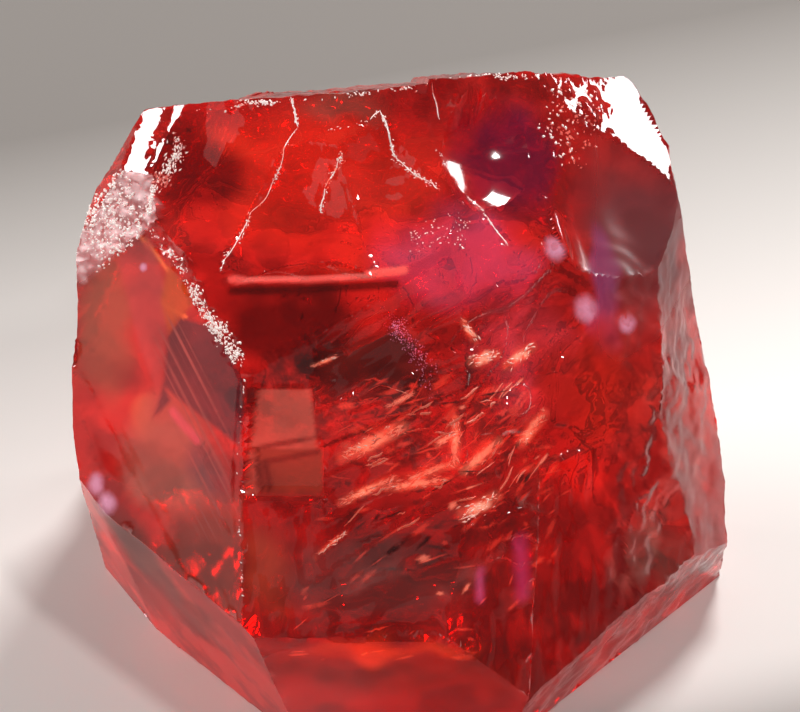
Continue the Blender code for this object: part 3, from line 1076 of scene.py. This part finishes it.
def splinters(name, places, along, size, stretch, wander, seed, material):
    """Octahedra at these places. The long axis is along, plus a random wander, and the others are square
    to it."""
    random = np.random.default_rng(seed)
    count = len(places)
    long_axis = unit(along + wander * random.normal(size=(count, 3)))
    side_axis = unit(np.cross(long_axis, random.normal(size=(count, 3))))
    third_axis = np.cross(long_axis, side_axis)
    grow = size * random.uniform(0.4, 1.3, (count, 1))
    corners = np.stack([
        long_axis * grow * stretch * random.uniform(0.5, 1.2, (count, 1)), side_axis * grow,
        -long_axis * grow * stretch, -side_axis * grow, third_axis * grow * 0.6, -third_axis * grow * 0.6,
    ], axis=1)
    faces = [[0, 1, 4], [1, 2, 4], [2, 3, 4], [3, 0, 4], [1, 0, 5], [2, 1, 5], [3, 2, 5], [0, 3, 5]]
    return in_the_stone(name, corners + places[:, None, :], np.array(faces), material)


def splinter_material(name, colour, pale, roughness, painted_glow):
    """Crushed crystal: pale, a little glossy, with a faint painted glow."""
    material, tree, inputs = new_material(name, roughness, painted_glow)
    tone = mix_in(tree, (*colour, 1), mottle(tree, 9.0), (*pale, 1))
    tree.links.new(tone, inputs["Base Color"])
    inputs["IOR"].default_value = RUBY_IOR
    return material


# %% White splinters on the ridges
# crushed crystal on the ridges: pale and glossy, with a glow of painted glints
SPARKLE_AND_PAINTED_GLINT = splinter_material(
    "crushed_crystal", (0.98, 0.80, 0.76), (1.0, 0.95, 0.92), 0.22, (0.34, 0.27, 0.25),
)
# ridge: its path, how many splinters, how far they stray, their size, their stretch, and their clusters
RIDGES = {
    "hinge_splinters": (HINGE, 130, 0.050, 0.018, 1.8, 7),
    "hinge_foot_splinters": (HINGE[3:], 280, 0.060, 0.022, 1.7, 7),
    "lower_hinge_splinters": (LOWER_HINGE, 30, 0.010, 0.013, 2.0, 6),
    "long_ridge_splinters": (LONG_RIDGE, 180, 0.010, 0.010, 2.4, 9),
    "short_ridge_splinters": (SHORT_RIDGE, 80, 0.020, 0.012, 2.0, 4),
    "crown_ridge_splinters": (CROWN_RIDGE, 170, 0.014, 0.012, 2.0, 7),
    "scoop_rim_splinters": (SCOOP_RIM[2:], 80, 0.008, 0.010, 2.4, 0),
    "top_rim_splinters": (TOP_RIM, 220, 0.014, 0.018, 1.6, 12),
    "corner_rim_splinters": (CORNER_RIM, 260, 0.026, 0.022, 1.8, 0),
}
random = np.random.default_rng(7)
for number, (name, (path, count, spread, size, stretch, clusters)) in enumerate(RIDGES.items()):
    places, along = along_path(path, count, spread, random, clusters)
    splinters(name, on_skin(places), along, size, stretch, 0.6, 200 + number, SPARKLE_AND_PAINTED_GLINT)


# %% Frost on the left corner, glitter on the right one, and specks over the magenta heart
def scattered(middle, half, count, random):
    """Random places in a box round a middle, carried to the skin."""
    return on_skin(np.array(middle) + random.uniform(-1, 1, (count, 3)) * half)


# patch of specks, all glowing with painted glints: its middle and half-sizes, how many, their size
SPECKS = {
    "frost_specks": ((-4.55, 0.85, 6.5), (0.45, 0.55, 0.55), 420, 0.030),
    "right_glitter": ((2.65, 1.85, 7.75), (0.45, 0.42, 0.45), 150, 0.032),
    "heart_specks": ((0.55, -0.45, 7.25), (0.45, 0.25, 0.25), 90, 0.014),
}
for number, (name, (middle, half, count, size)) in enumerate(SPECKS.items()):
    places = scattered(middle, half, count, random)
    splinters(name, places, random.normal(size=(count, 3)), size, 1.2, 0.0, 220 + number, SPARKLE_AND_PAINTED_GLINT)

# %% [markdown]
# ## Hair cracks and bright threads
# Fine cracks run through the broken front, and the ridges end in thin bright threads of bruised crystal. Both
# glow with painted light. A cylinder would look too even for either. Each is a flame instead: a closed tube
# along a short run, w(t) = sqrt(sin(pi t)) wide, flattened to the skin, gently bent and frayed at random.

# %% Flames
FLAME_STEPS, FLAME_SIDES = 28, 8
FLAME_FLATNESS, FLAME_FRAY, FLAME_BEND = 0.35, 0.35, 0.6


def flame_faces():
    """Triangles of one flame: rings of sides, and a fan at each end."""
    around = np.arange(FLAME_SIDES)
    following = (around + 1) % FLAME_SIDES
    rows = np.arange(FLAME_STEPS - 1)[:, None] * FLAME_SIDES
    first, last = FLAME_STEPS * FLAME_SIDES, FLAME_STEPS * FLAME_SIDES + 1
    side = np.stack([rows + around, rows + following, rows + FLAME_SIDES + following,
                     rows + FLAME_SIDES + around], axis=-1).reshape(-1, 4)
    tip = np.stack([np.full(FLAME_SIDES, first), following, around], axis=1)
    final = first - FLAME_SIDES
    tail = np.stack([np.full(FLAME_SIDES, last), final + around, final + following], axis=1)
    return np.concatenate([side[:, [0, 1, 2]], side[:, [0, 2, 3]], tip, tail])


def flames(name, cracks, depth, seed, material):
    """Flattened tubes: middle(t) + w(t) (cos a across + flatness sin a out), at a depth under the skin."""
    random = np.random.default_rng(seed)
    share = np.linspace(0, 1, FLAME_STEPS + 2)[1:-1, None]
    angle = np.linspace(0, 2 * np.pi, FLAME_SIDES, endpoint=False)
    tubes = []
    for start, end, width in cracks:
        out = unit((start + end) / 2 - SEED)
        across = unit(np.cross(out, end - start))
        wave = np.sin(share * random.uniform(4, 9) + random.uniform(0, 6))
        middle = start + share * (end - start) + across * (FLAME_BEND * width * wave)
        fray = 1 + FLAME_FRAY * random.normal(size=(FLAME_STEPS, FLAME_SIDES)).clip(-1.5, 1.5)
        spread = width * np.sqrt(np.sin(np.pi * share)) * fray
        tube = on_skin(middle, depth)[:, None] + (spread * np.cos(angle))[..., None] * across
        tube = tube + (FLAME_FLATNESS * spread * np.sin(angle))[..., None] * out
        ends = on_skin(np.array([start, end]), depth)
        tubes.append(np.concatenate([tube.reshape(-1, 3), ends]))
    return in_the_stone(name, tubes, flame_faces(), material)


# %% Hair cracks over the broken front
BEFORE_FRONT = -3.0


def front_box(count, low, high, random):
    """Random places before the front, in x and z from a low to a high corner."""
    across = random.uniform(low[0], high[0], count)
    return np.stack([across, np.full(count, BEFORE_FRONT), random.uniform(low[1], high[1], count)], axis=1)


def hair_lines(count, random):
    """Short lines strewn over the broken part of the front, all near the direction of the streaks."""
    start = on_skin(front_box(count, (-0.9, 3.9), (2.4, 5.9), random))
    run = unit(STREAK + 0.22 * random.normal(size=(count, 3))) * random.uniform(0.12, 0.5, (count, 1))
    width = random.uniform(0.008, 0.028, count)
    return list(zip(start, start + run, width))


# the hair cracks glow with painted light
HAIR = splinter_material("hair_crack", (1.0, 0.12, 0.07), (1.0, 0.38, 0.28), 0.35, (0.22, 0.020, 0.010))
flames("hair_cracks", hair_lines(60, random), 0.03, 260, HAIR)


# %% Threads on the ridges and on the front
def path_runs(paths, width):
    """Each straight run of each path, as a start, an end and this half-width."""
    return [(start, end, width) for path in paths for start, end in zip(path[:-1], path[1:])]


# the front threads glow with painted light, and the ridge threads with painted glints
THREAD = splinter_material("front_thread", (0.9, 0.16, 0.09), (1.0, 0.40, 0.28), 0.3, (0.22, 0.024, 0.012))
flames("ridge_threads", path_runs(BRIGHT_LINES, 0.013), -0.005, 280, SPARKLE_AND_PAINTED_GLINT)
flames("front_threads", path_runs(FRONT_LINES, 0.006), 0.01, 290, THREAD)

# %% Splinters beside the bright cracks and along the seam
# they lie between these two depths under the skin
SHALLOW, DEEP = 0.03, 0.08
places, directions = [], []
for start, end, width, count in CRACKS:
    beside, along = along_path([start, end], count, 0.55 * width, random)
    places.append(on_skin(beside, SHALLOW + random.uniform(0, DEEP - SHALLOW, count)))
    directions.append(along)
places, directions = np.concatenate(places), np.concatenate(directions)
# these splinters glow with painted light over the bright cracks
FRAY = splinter_material("crack_splinter", (1.0, 0.45, 0.36), (1.0, 0.85, 0.78), 0.3, (0.30, 0.12, 0.09))
splinters("crack_splinters", places, directions, 0.016, 4.0, 0.4, 240, FRAY)
places, along = along_path(SEAM, 420, 0.075, random, 8)
# the seam splinters glow with painted magenta light
MAGENTA = splinter_material("seam_splinter", (1.0, 0.25, 0.45), (1.0, 0.65, 0.80), 0.3, (0.32, 0.04, 0.11))
splinters("seam_splinters", on_skin(places, 0.02), along, 0.0075, 1.8, 0.8, 245, MAGENTA)

# %% [markdown]
# ## Veils and bright cracks
# Healed cracks hang in a ruby like torn curtains, and open ones show as pale streaks of painted light that
# rise to the right. Both are thin lenses, closed, and a sixtieth of a millimetre thick in the middle: r(a)
# cos a and r(a) sin a along two axes, with a shallow saddle across. Solid glass bodies would bend the light
# like beads. The rim of a lens fades through an attribute instead, and noise tears holes in it.

# %% One lens
VEIL_RINGS, VEIL_SPOKES = 5, 14
# half of its thickness in the middle
VEIL_SWELL = 0.008


def veil(middle, along, across, size, bend, ragged, seed):
    """Points of one lens: an upper and a lower sheet of rings that share their rim and end in a pole.
    Returns how far out each point is too, from 0 at the poles to 1 at the rim."""
    random = np.random.default_rng(seed)
    share = np.linspace(0, 1, VEIL_RINGS + 1)[1:, None]
    angle = np.linspace(0, 2 * np.pi, VEIL_SPOKES, endpoint=False)[None]
    wobble = 0.25 * np.sin(2 * angle + random.uniform(0, 6)) + 0.15 * np.sin(5 * angle + random.uniform(0, 6))
    wobble = 1 + ragged * wobble
    u, v = share * wobble * np.cos(angle) * size[0], share * wobble * np.sin(angle) * size[1]
    saddle = bend * size[1] * share**2 * np.cos(2 * angle + random.uniform(0, 6))
    normal = np.cross(along, across)
    sheet = middle + u[..., None] * along + v[..., None] * across + saddle[..., None] * normal
    swell = (VEIL_SWELL * (1 - share**2) * np.ones_like(angle))[..., None] * normal
    upper, lower = (sheet + swell).reshape(-1, 3), (sheet[:-1] - swell[:-1]).reshape(-1, 3)
    poles = np.array([middle + VEIL_SWELL * normal, middle - VEIL_SWELL * normal])
    rings = np.concatenate([share[:, 0], share[:-1, 0]])
    return np.concatenate([upper, lower, poles]), np.append(np.repeat(rings, VEIL_SPOKES), [0, 0])


def veil_faces():
    """Triangles of one lens: pole to first ring, ring to ring, and the same below, turned the other way."""
    spoke = np.arange(VEIL_SPOKES)
    following = (spoke + 1) % VEIL_SPOKES
    upper = np.arange(VEIL_RINGS) * VEIL_SPOKES
    # the lower sheet has rings of its own, but for the rim, which it shares with the upper one
    lower = np.append(VEIL_RINGS * VEIL_SPOKES + upper[:-1], upper[-1])
    pole = (2 * VEIL_RINGS - 1) * VEIL_SPOKES
    faces = [np.stack([np.full_like(spoke, pole), spoke, following], axis=1),
             np.stack([np.full_like(spoke, pole + 1), lower[0] + following, lower[0] + spoke], axis=1)]
    for ring in range(VEIL_RINGS - 1):
        for starts, flip in ((upper, 1), (lower, -1)):
            a, b = starts[ring] + spoke, starts[ring] + following
            c, d = starts[ring + 1] + following, starts[ring + 1] + spoke
            faces += [np.stack([a, d, c], axis=1)[:, ::flip], np.stack([a, c, b], axis=1)[:, ::flip]]
    return np.concatenate(faces)


print("one lens has", len(veil_faces()), "triangles")


# %% Many lenses, at all angles or flat to the skin
def skin_normals(points, step=0.03):
    """Which way the skin above each point faces: a x b, for two short steps a and b over it."""
    out = unit(points - SEED)
    first = unit(np.cross(out, (0.3, 0.5, 0.8)))
    second = np.cross(out, first)
    here = on_skin(points)
    return unit(np.cross(on_skin(points + step * first) - here, on_skin(points + step * second) - here))


def veils(name, middles, aims, sizes, seed, material, flat_to_skin=False, ragged=1.0):
    """Many lenses in one mesh, each with its long axis near an aim, and a mask that falls to 0 at the rim.
    They lie at all angles, or flat to the skin above them."""
    random = np.random.default_rng(seed)
    facing = skin_normals(middles) if flat_to_skin else random.normal(size=middles.shape)
    wander, bend = (0.05, 0.05) if flat_to_skin else (0.25, 0.35)
    lenses, rims = [], []
    for number, (middle, aim, size) in enumerate(zip(middles, aims, sizes)):
        along = unit(aim + wander * random.normal(size=3))
        across = unit(np.cross(along, facing[number]))
        along = np.cross(facing[number], across) if flat_to_skin else along
        lens, rim = veil(middle, along, across, size, bend, ragged, seed + number)
        lenses.append(lens)
        rims.append(rim)
    piece = in_the_stone(name, lenses, veil_faces(), material)
    piece.data.shade_smooth()
    add_mask(piece, "solid", fade(np.concatenate(rims), full=0.1, none=1.0))
    return piece


# %% What the lenses are made of
VEIL_ROUGHNESS = 0.45
VEIL_SHADE = 0.6


def veil_material(name, colour, density, low=0.42, high=0.62, per_millimetre=4.0, painted_glow=None):
    """A torn haze: pale and matt where the noise is high, nothing where it is low or near the rim."""
    material, tree, inputs = new_material(name, VEIL_ROUGHNESS, painted_glow)
    haze = times(tree, mottle(tree, per_millimetre, low, high), density)
    tree.links.new(times(tree, haze, attribute(tree, "solid")), inputs["Alpha"])
    shaded = [VEIL_SHADE * part for part in colour]
    tone = mix_in(tree, (*colour, 1), mottle(tree, 6.0), (*shaded, 1))
    tree.links.new(tone, inputs["Base Color"])
    return material


def painted_light_material(name, colour, painted_glow, density, low=0.25, high=0.5, per_millimetre=4.0):
    """Painted light of a crack: a haze with a soft glow of its own, full in the middle, nothing at the rim.
    """
    return veil_material(name, colour, density, low, high, per_millimetre, painted_glow)


# %% Bright cracks of painted light, with a soft painted halo under each
def crack_lenses(name, cracks, widen, depth, seed, material, ragged=1.0):
    """One lens along each crack, as long as the crack and this many times its width."""
    start, end = np.array([crack[0] for crack in cracks]), np.array([crack[1] for crack in cracks])
    widths = np.array([crack[2] for crack in cracks])
    half = np.linalg.norm(end - start, axis=1) / 2
    sizes = np.stack([np.maximum(0.75 * half * math.sqrt(widen), widths * widen), widths * widen], axis=1)
    middles = on_skin((start + end) / 2, depth)
    return veils(name, middles, end - start, sizes, seed, material, flat_to_skin=True, ragged=ragged)


HALO = painted_light_material("crack_halo", (1.0, 0.24, 0.16), (0.40, 0.045, 0.022), 0.8)
crack_lenses("crack_halos", CRACKS, 2.4, 0.12, 300, HALO)
CORE = painted_light_material("bright_crack", (0.9, 0.42, 0.32), (0.66, 0.22, 0.14), 1.0, 0.36, 0.50, 9.0)
crack_lenses("bright_cracks", CRACKS, 1.15, 0.05, 320, CORE)

# %% Blurred lights, painted
# sparks out of focus, painted as glowing lenses a little before the skin: where each starts and ends in the
# view, and its half-width in millimetres
BLURRED_PLACES = [
    ((96, 479), (100, 487), 0.12),
    ((108, 494), (110, 510), 0.13),
    ((551, 246), (555, 254), 0.13),
    ((590, 298), (578, 321), 0.15),
    ((623, 314), (627, 334), 0.11),
    ((142, 264), (149, 272), 0.05),
]
BLURRED = [(*skin_at([start, end]), width) for start, end, width in BLURRED_PLACES]
BLUR = painted_light_material("blurred_light", (0.45, 0.20, 0.30), (0.62, 0.28, 0.40), 0.85, 0.0, 1.0)
crack_lenses("blurred_lights", BLURRED, 1.9, -0.035, 340, BLUR, ragged=0.2)


# %% Small cracks strewn under the front, bright with painted light, and dark
def under_front(count, low, high, shallow, deep, random):
    """Random places under the front: a box before it, carried to the skin, then let in by a random depth."""
    return on_skin(front_box(count, low, high, random), random.uniform(shallow, deep, count))


random = np.random.default_rng(33)
SMALL = painted_light_material("small_crack", (1.0, 0.30, 0.20), (0.50, 0.075, 0.045), 0.9, 0.3, 0.5)
strewn = under_front(170, (-1.2, 2.7), (3.6, 6.4), 0.04, 0.35, random)
sizes = random.uniform((0.06, 0.015), (0.30, 0.07), (len(strewn), 2))
aims = STREAK + 0.25 * random.normal(size=strewn.shape)
veils("small_cracks", strewn, aims, sizes, 350, SMALL, flat_to_skin=True)
DARK = veil_material("dark_crack", (0.10, 0.010, 0.010), 0.85)
strewn = under_front(120, (-1.0, 3.6), (2.9, 6.0), 0.03, 0.25, random)
sizes = random.uniform((0.08, 0.02), (0.45, 0.08), (len(strewn), 2))
aims = STREAK + 0.35 * random.normal(size=strewn.shape)
veils("dark_cracks", strewn, aims, sizes, 360, DARK, flat_to_skin=True)

# %% Hang the veils
random = np.random.default_rng(31)
PALE = veil_material("pale_veil", (1.0, 0.42, 0.38), 0.7)
hung = under_front(46, (-1.6, 2.8), (3.4, 6.4), 0.10, 1.0, random)
aims = STREAK + 0.35 * random.normal(size=hung.shape)
veils("pale_veils", hung, aims, random.uniform((0.22, 0.10), (0.75, 0.26), (len(hung), 2)), 400, PALE)
SHADE = veil_material("dark_veil", (0.22, 0.05, 0.07), 0.9)
hung = under_front(60, (-4.2, 4.4), (2.4, 7.2), 0.6, 3.2, random)
aims = random.normal(size=hung.shape)
veils("dark_veils", hung, aims, random.uniform((0.3, 0.2), (1.0, 0.6), (len(hung), 2)), 500, SHADE)

# %% [markdown]
# ## The table
# The stone rests on a plain sheet of pale paper, brightest round the stone. Its colour is graded along its
# own length, to a soft grey behind and to a dimmer one in front. This is painted shade where the light falls
# off, and it also gives the stone something dark to mirror.

# %% Floor
# half the side of the sheet, and how far it lies under the foot
FLOOR_REACH, FLOOR_GAP = 150.0, 0.02
PALE_SHEET, FAR_PAINTED_SHADE, NEAR_PAINTED_SHADE = (0.92, 0.87, 0.83, 1), (0.235, 0.213, 0.196, 1), (0.16, 0.13, 0.12, 1)


def floor_material():
    """Matt paper with painted shade graded along one direction: behind, it is far grey, and before the stone
    it is dim.
    """
    material, tree, inputs = new_material("pale_paper", roughness=0.9)
    there = wire(tree, "ShaderNodeTexCoord")
    back = wire(tree, "ShaderNodeVectorMath", {0: there.outputs["Object"], 1: (-0.3, 1.0, 0.0)},
                operation="DOT_PRODUCT").outputs["Value"]
    behind = wire(tree, "ShaderNodeMapRange", {"Value": back, "From Min": 2.5 * MM, "From Max": 13.5 * MM})
    before = wire(tree, "ShaderNodeMapRange", {"Value": back, "From Min": -3.6 * MM, "From Max": -7 * MM},
                  interpolation_type="SMOOTHSTEP")
    graded = mix_in(tree, PALE_SHEET, behind.outputs["Result"], FAR_PAINTED_SHADE)
    tree.links.new(mix_in(tree, graded, before.outputs["Result"], NEAR_PAINTED_SHADE), inputs["Base Color"])
    return material


square = np.array([[-1, -1], [1, -1], [1, 1], [-1, 1]]) * FLOOR_REACH
corners = np.column_stack([square, np.full(4, -FLOOR_GAP)])
floor = mesh_from("floor", corners, np.array([[0, 1, 2, 3]]))
floor.data.materials.append(floor_material())
print("the sheet is", 2 * FLOOR_REACH, "mm wide")

# %% [markdown]
# ## Light
# A clear stone shows what surrounds it, so the lights are chosen by what each face mirrors. The key light
# stands behind, high and a little to the right, and makes the stone glow. Low boxes behind at both sides
# whiten the two bright corners. Dim boxes in front put a soft film on the left face and the growth window,
# and one small strong box, high in front, strikes sparks from crushed edges.

# %% Lights
WHITE, WARM = (1, 1, 1), (1.0, 0.85, 0.8)
# light: its bearing, tilt and distance from the stone, its two sides, its strength and its colour
LIGHTS = {
    "key_box": (66, 48, 60, (17, 17), 33, WHITE),
    "left_back_box": (157, 22, 60, (26, 18), 14, WHITE),
    "right_back_box": (32, 18, 60, (16, 13), 12, WHITE),
    "left_box": (193, 12, 60, (26, 18), 0.4, WARM),
    "window_box": (-90, 40, 110, (26, 22), 0.12, WARM),
    "high_left_box": (-130, 42, 80, (26, 26), 0.4, WARM),
    "sparkle_box": (-50, 62, 60, (6, 6), 66, WHITE),
}


def softbox(name, bearing, tilt, distance, size, strength, colour):
    """A rectangular area light that looks at the stone from this bearing and tilt, in millimetres."""
    light = bpy.data.lights.new(name, "AREA")
    light.shape = "RECTANGLE"
    light.size, light.size_y = size[0] * MM, size[1] * MM
    # power for a wanted brightness: pi x area x radiance
    light.energy = math.pi * light.size * light.size_y * strength
    light.color = colour
    lamp = bpy.data.objects.new(name, light)
    bpy.context.scene.collection.objects.link(lamp)
    away = Vector(toward(bearing, tilt))
    lamp.location = Vector(SEED) * MM + away * distance * MM
    lamp.rotation_mode = "QUATERNION"
    lamp.rotation_quaternion = away.to_track_quat("Z", "Y")
    lamp.visible_camera = False


for name, values in LIGHTS.items():
    softbox(name, *values)
print(len(LIGHTS), "lights")

# %% The room round them
world = bpy.data.worlds.new("studio")
world.use_nodes = True
room = world.node_tree.nodes["Background"].inputs
room["Color"].default_value = (0.8, 0.72, 0.68, 1)
room["Strength"].default_value = 0.10
bpy.context.scene.world = world

# %% [markdown]
# ## Camera
# The camera looks down on the front at forty degrees, from about eight stone-widths away, so the edges stay
# nearly parallel. Its lens follows from the width that it sees at the stone.

# %% Camera
SENSOR_WIDTH = 36
lens = bpy.data.cameras.new("camera")
lens.sensor_width = SENSOR_WIDTH
lens.lens = lens.sensor_width * CAMERA_DISTANCE / FRAME_WIDTH
lens.clip_start = 1 * MM
camera = bpy.data.objects.new("camera", lens)
bpy.context.scene.collection.objects.link(camera)
camera.location = Vector(CAMERA * MM)
camera.rotation_mode = "QUATERNION"
camera.rotation_quaternion = Vector(CAMERA - TARGET).to_track_quat("Z", "Y")
bpy.context.scene.camera = camera
print("the lens is", round(lens.lens), "mm long")

# %% How often light may bend and bounce
LIGHT_BENDS = 12
scene = bpy.context.scene
scene.view_settings.view_transform = "Standard"
scene.cycles.max_bounces = LIGHT_BENDS
scene.cycles.transmission_bounces = LIGHT_BENDS
scene.cycles.transparent_max_bounces = LIGHT_BENDS
scene.cycles.glossy_bounces = 6
scene.cycles.diffuse_bounces = 3
# a plain choice among seven lights is quicker here than a light tree
scene.cycles.use_light_tree = False
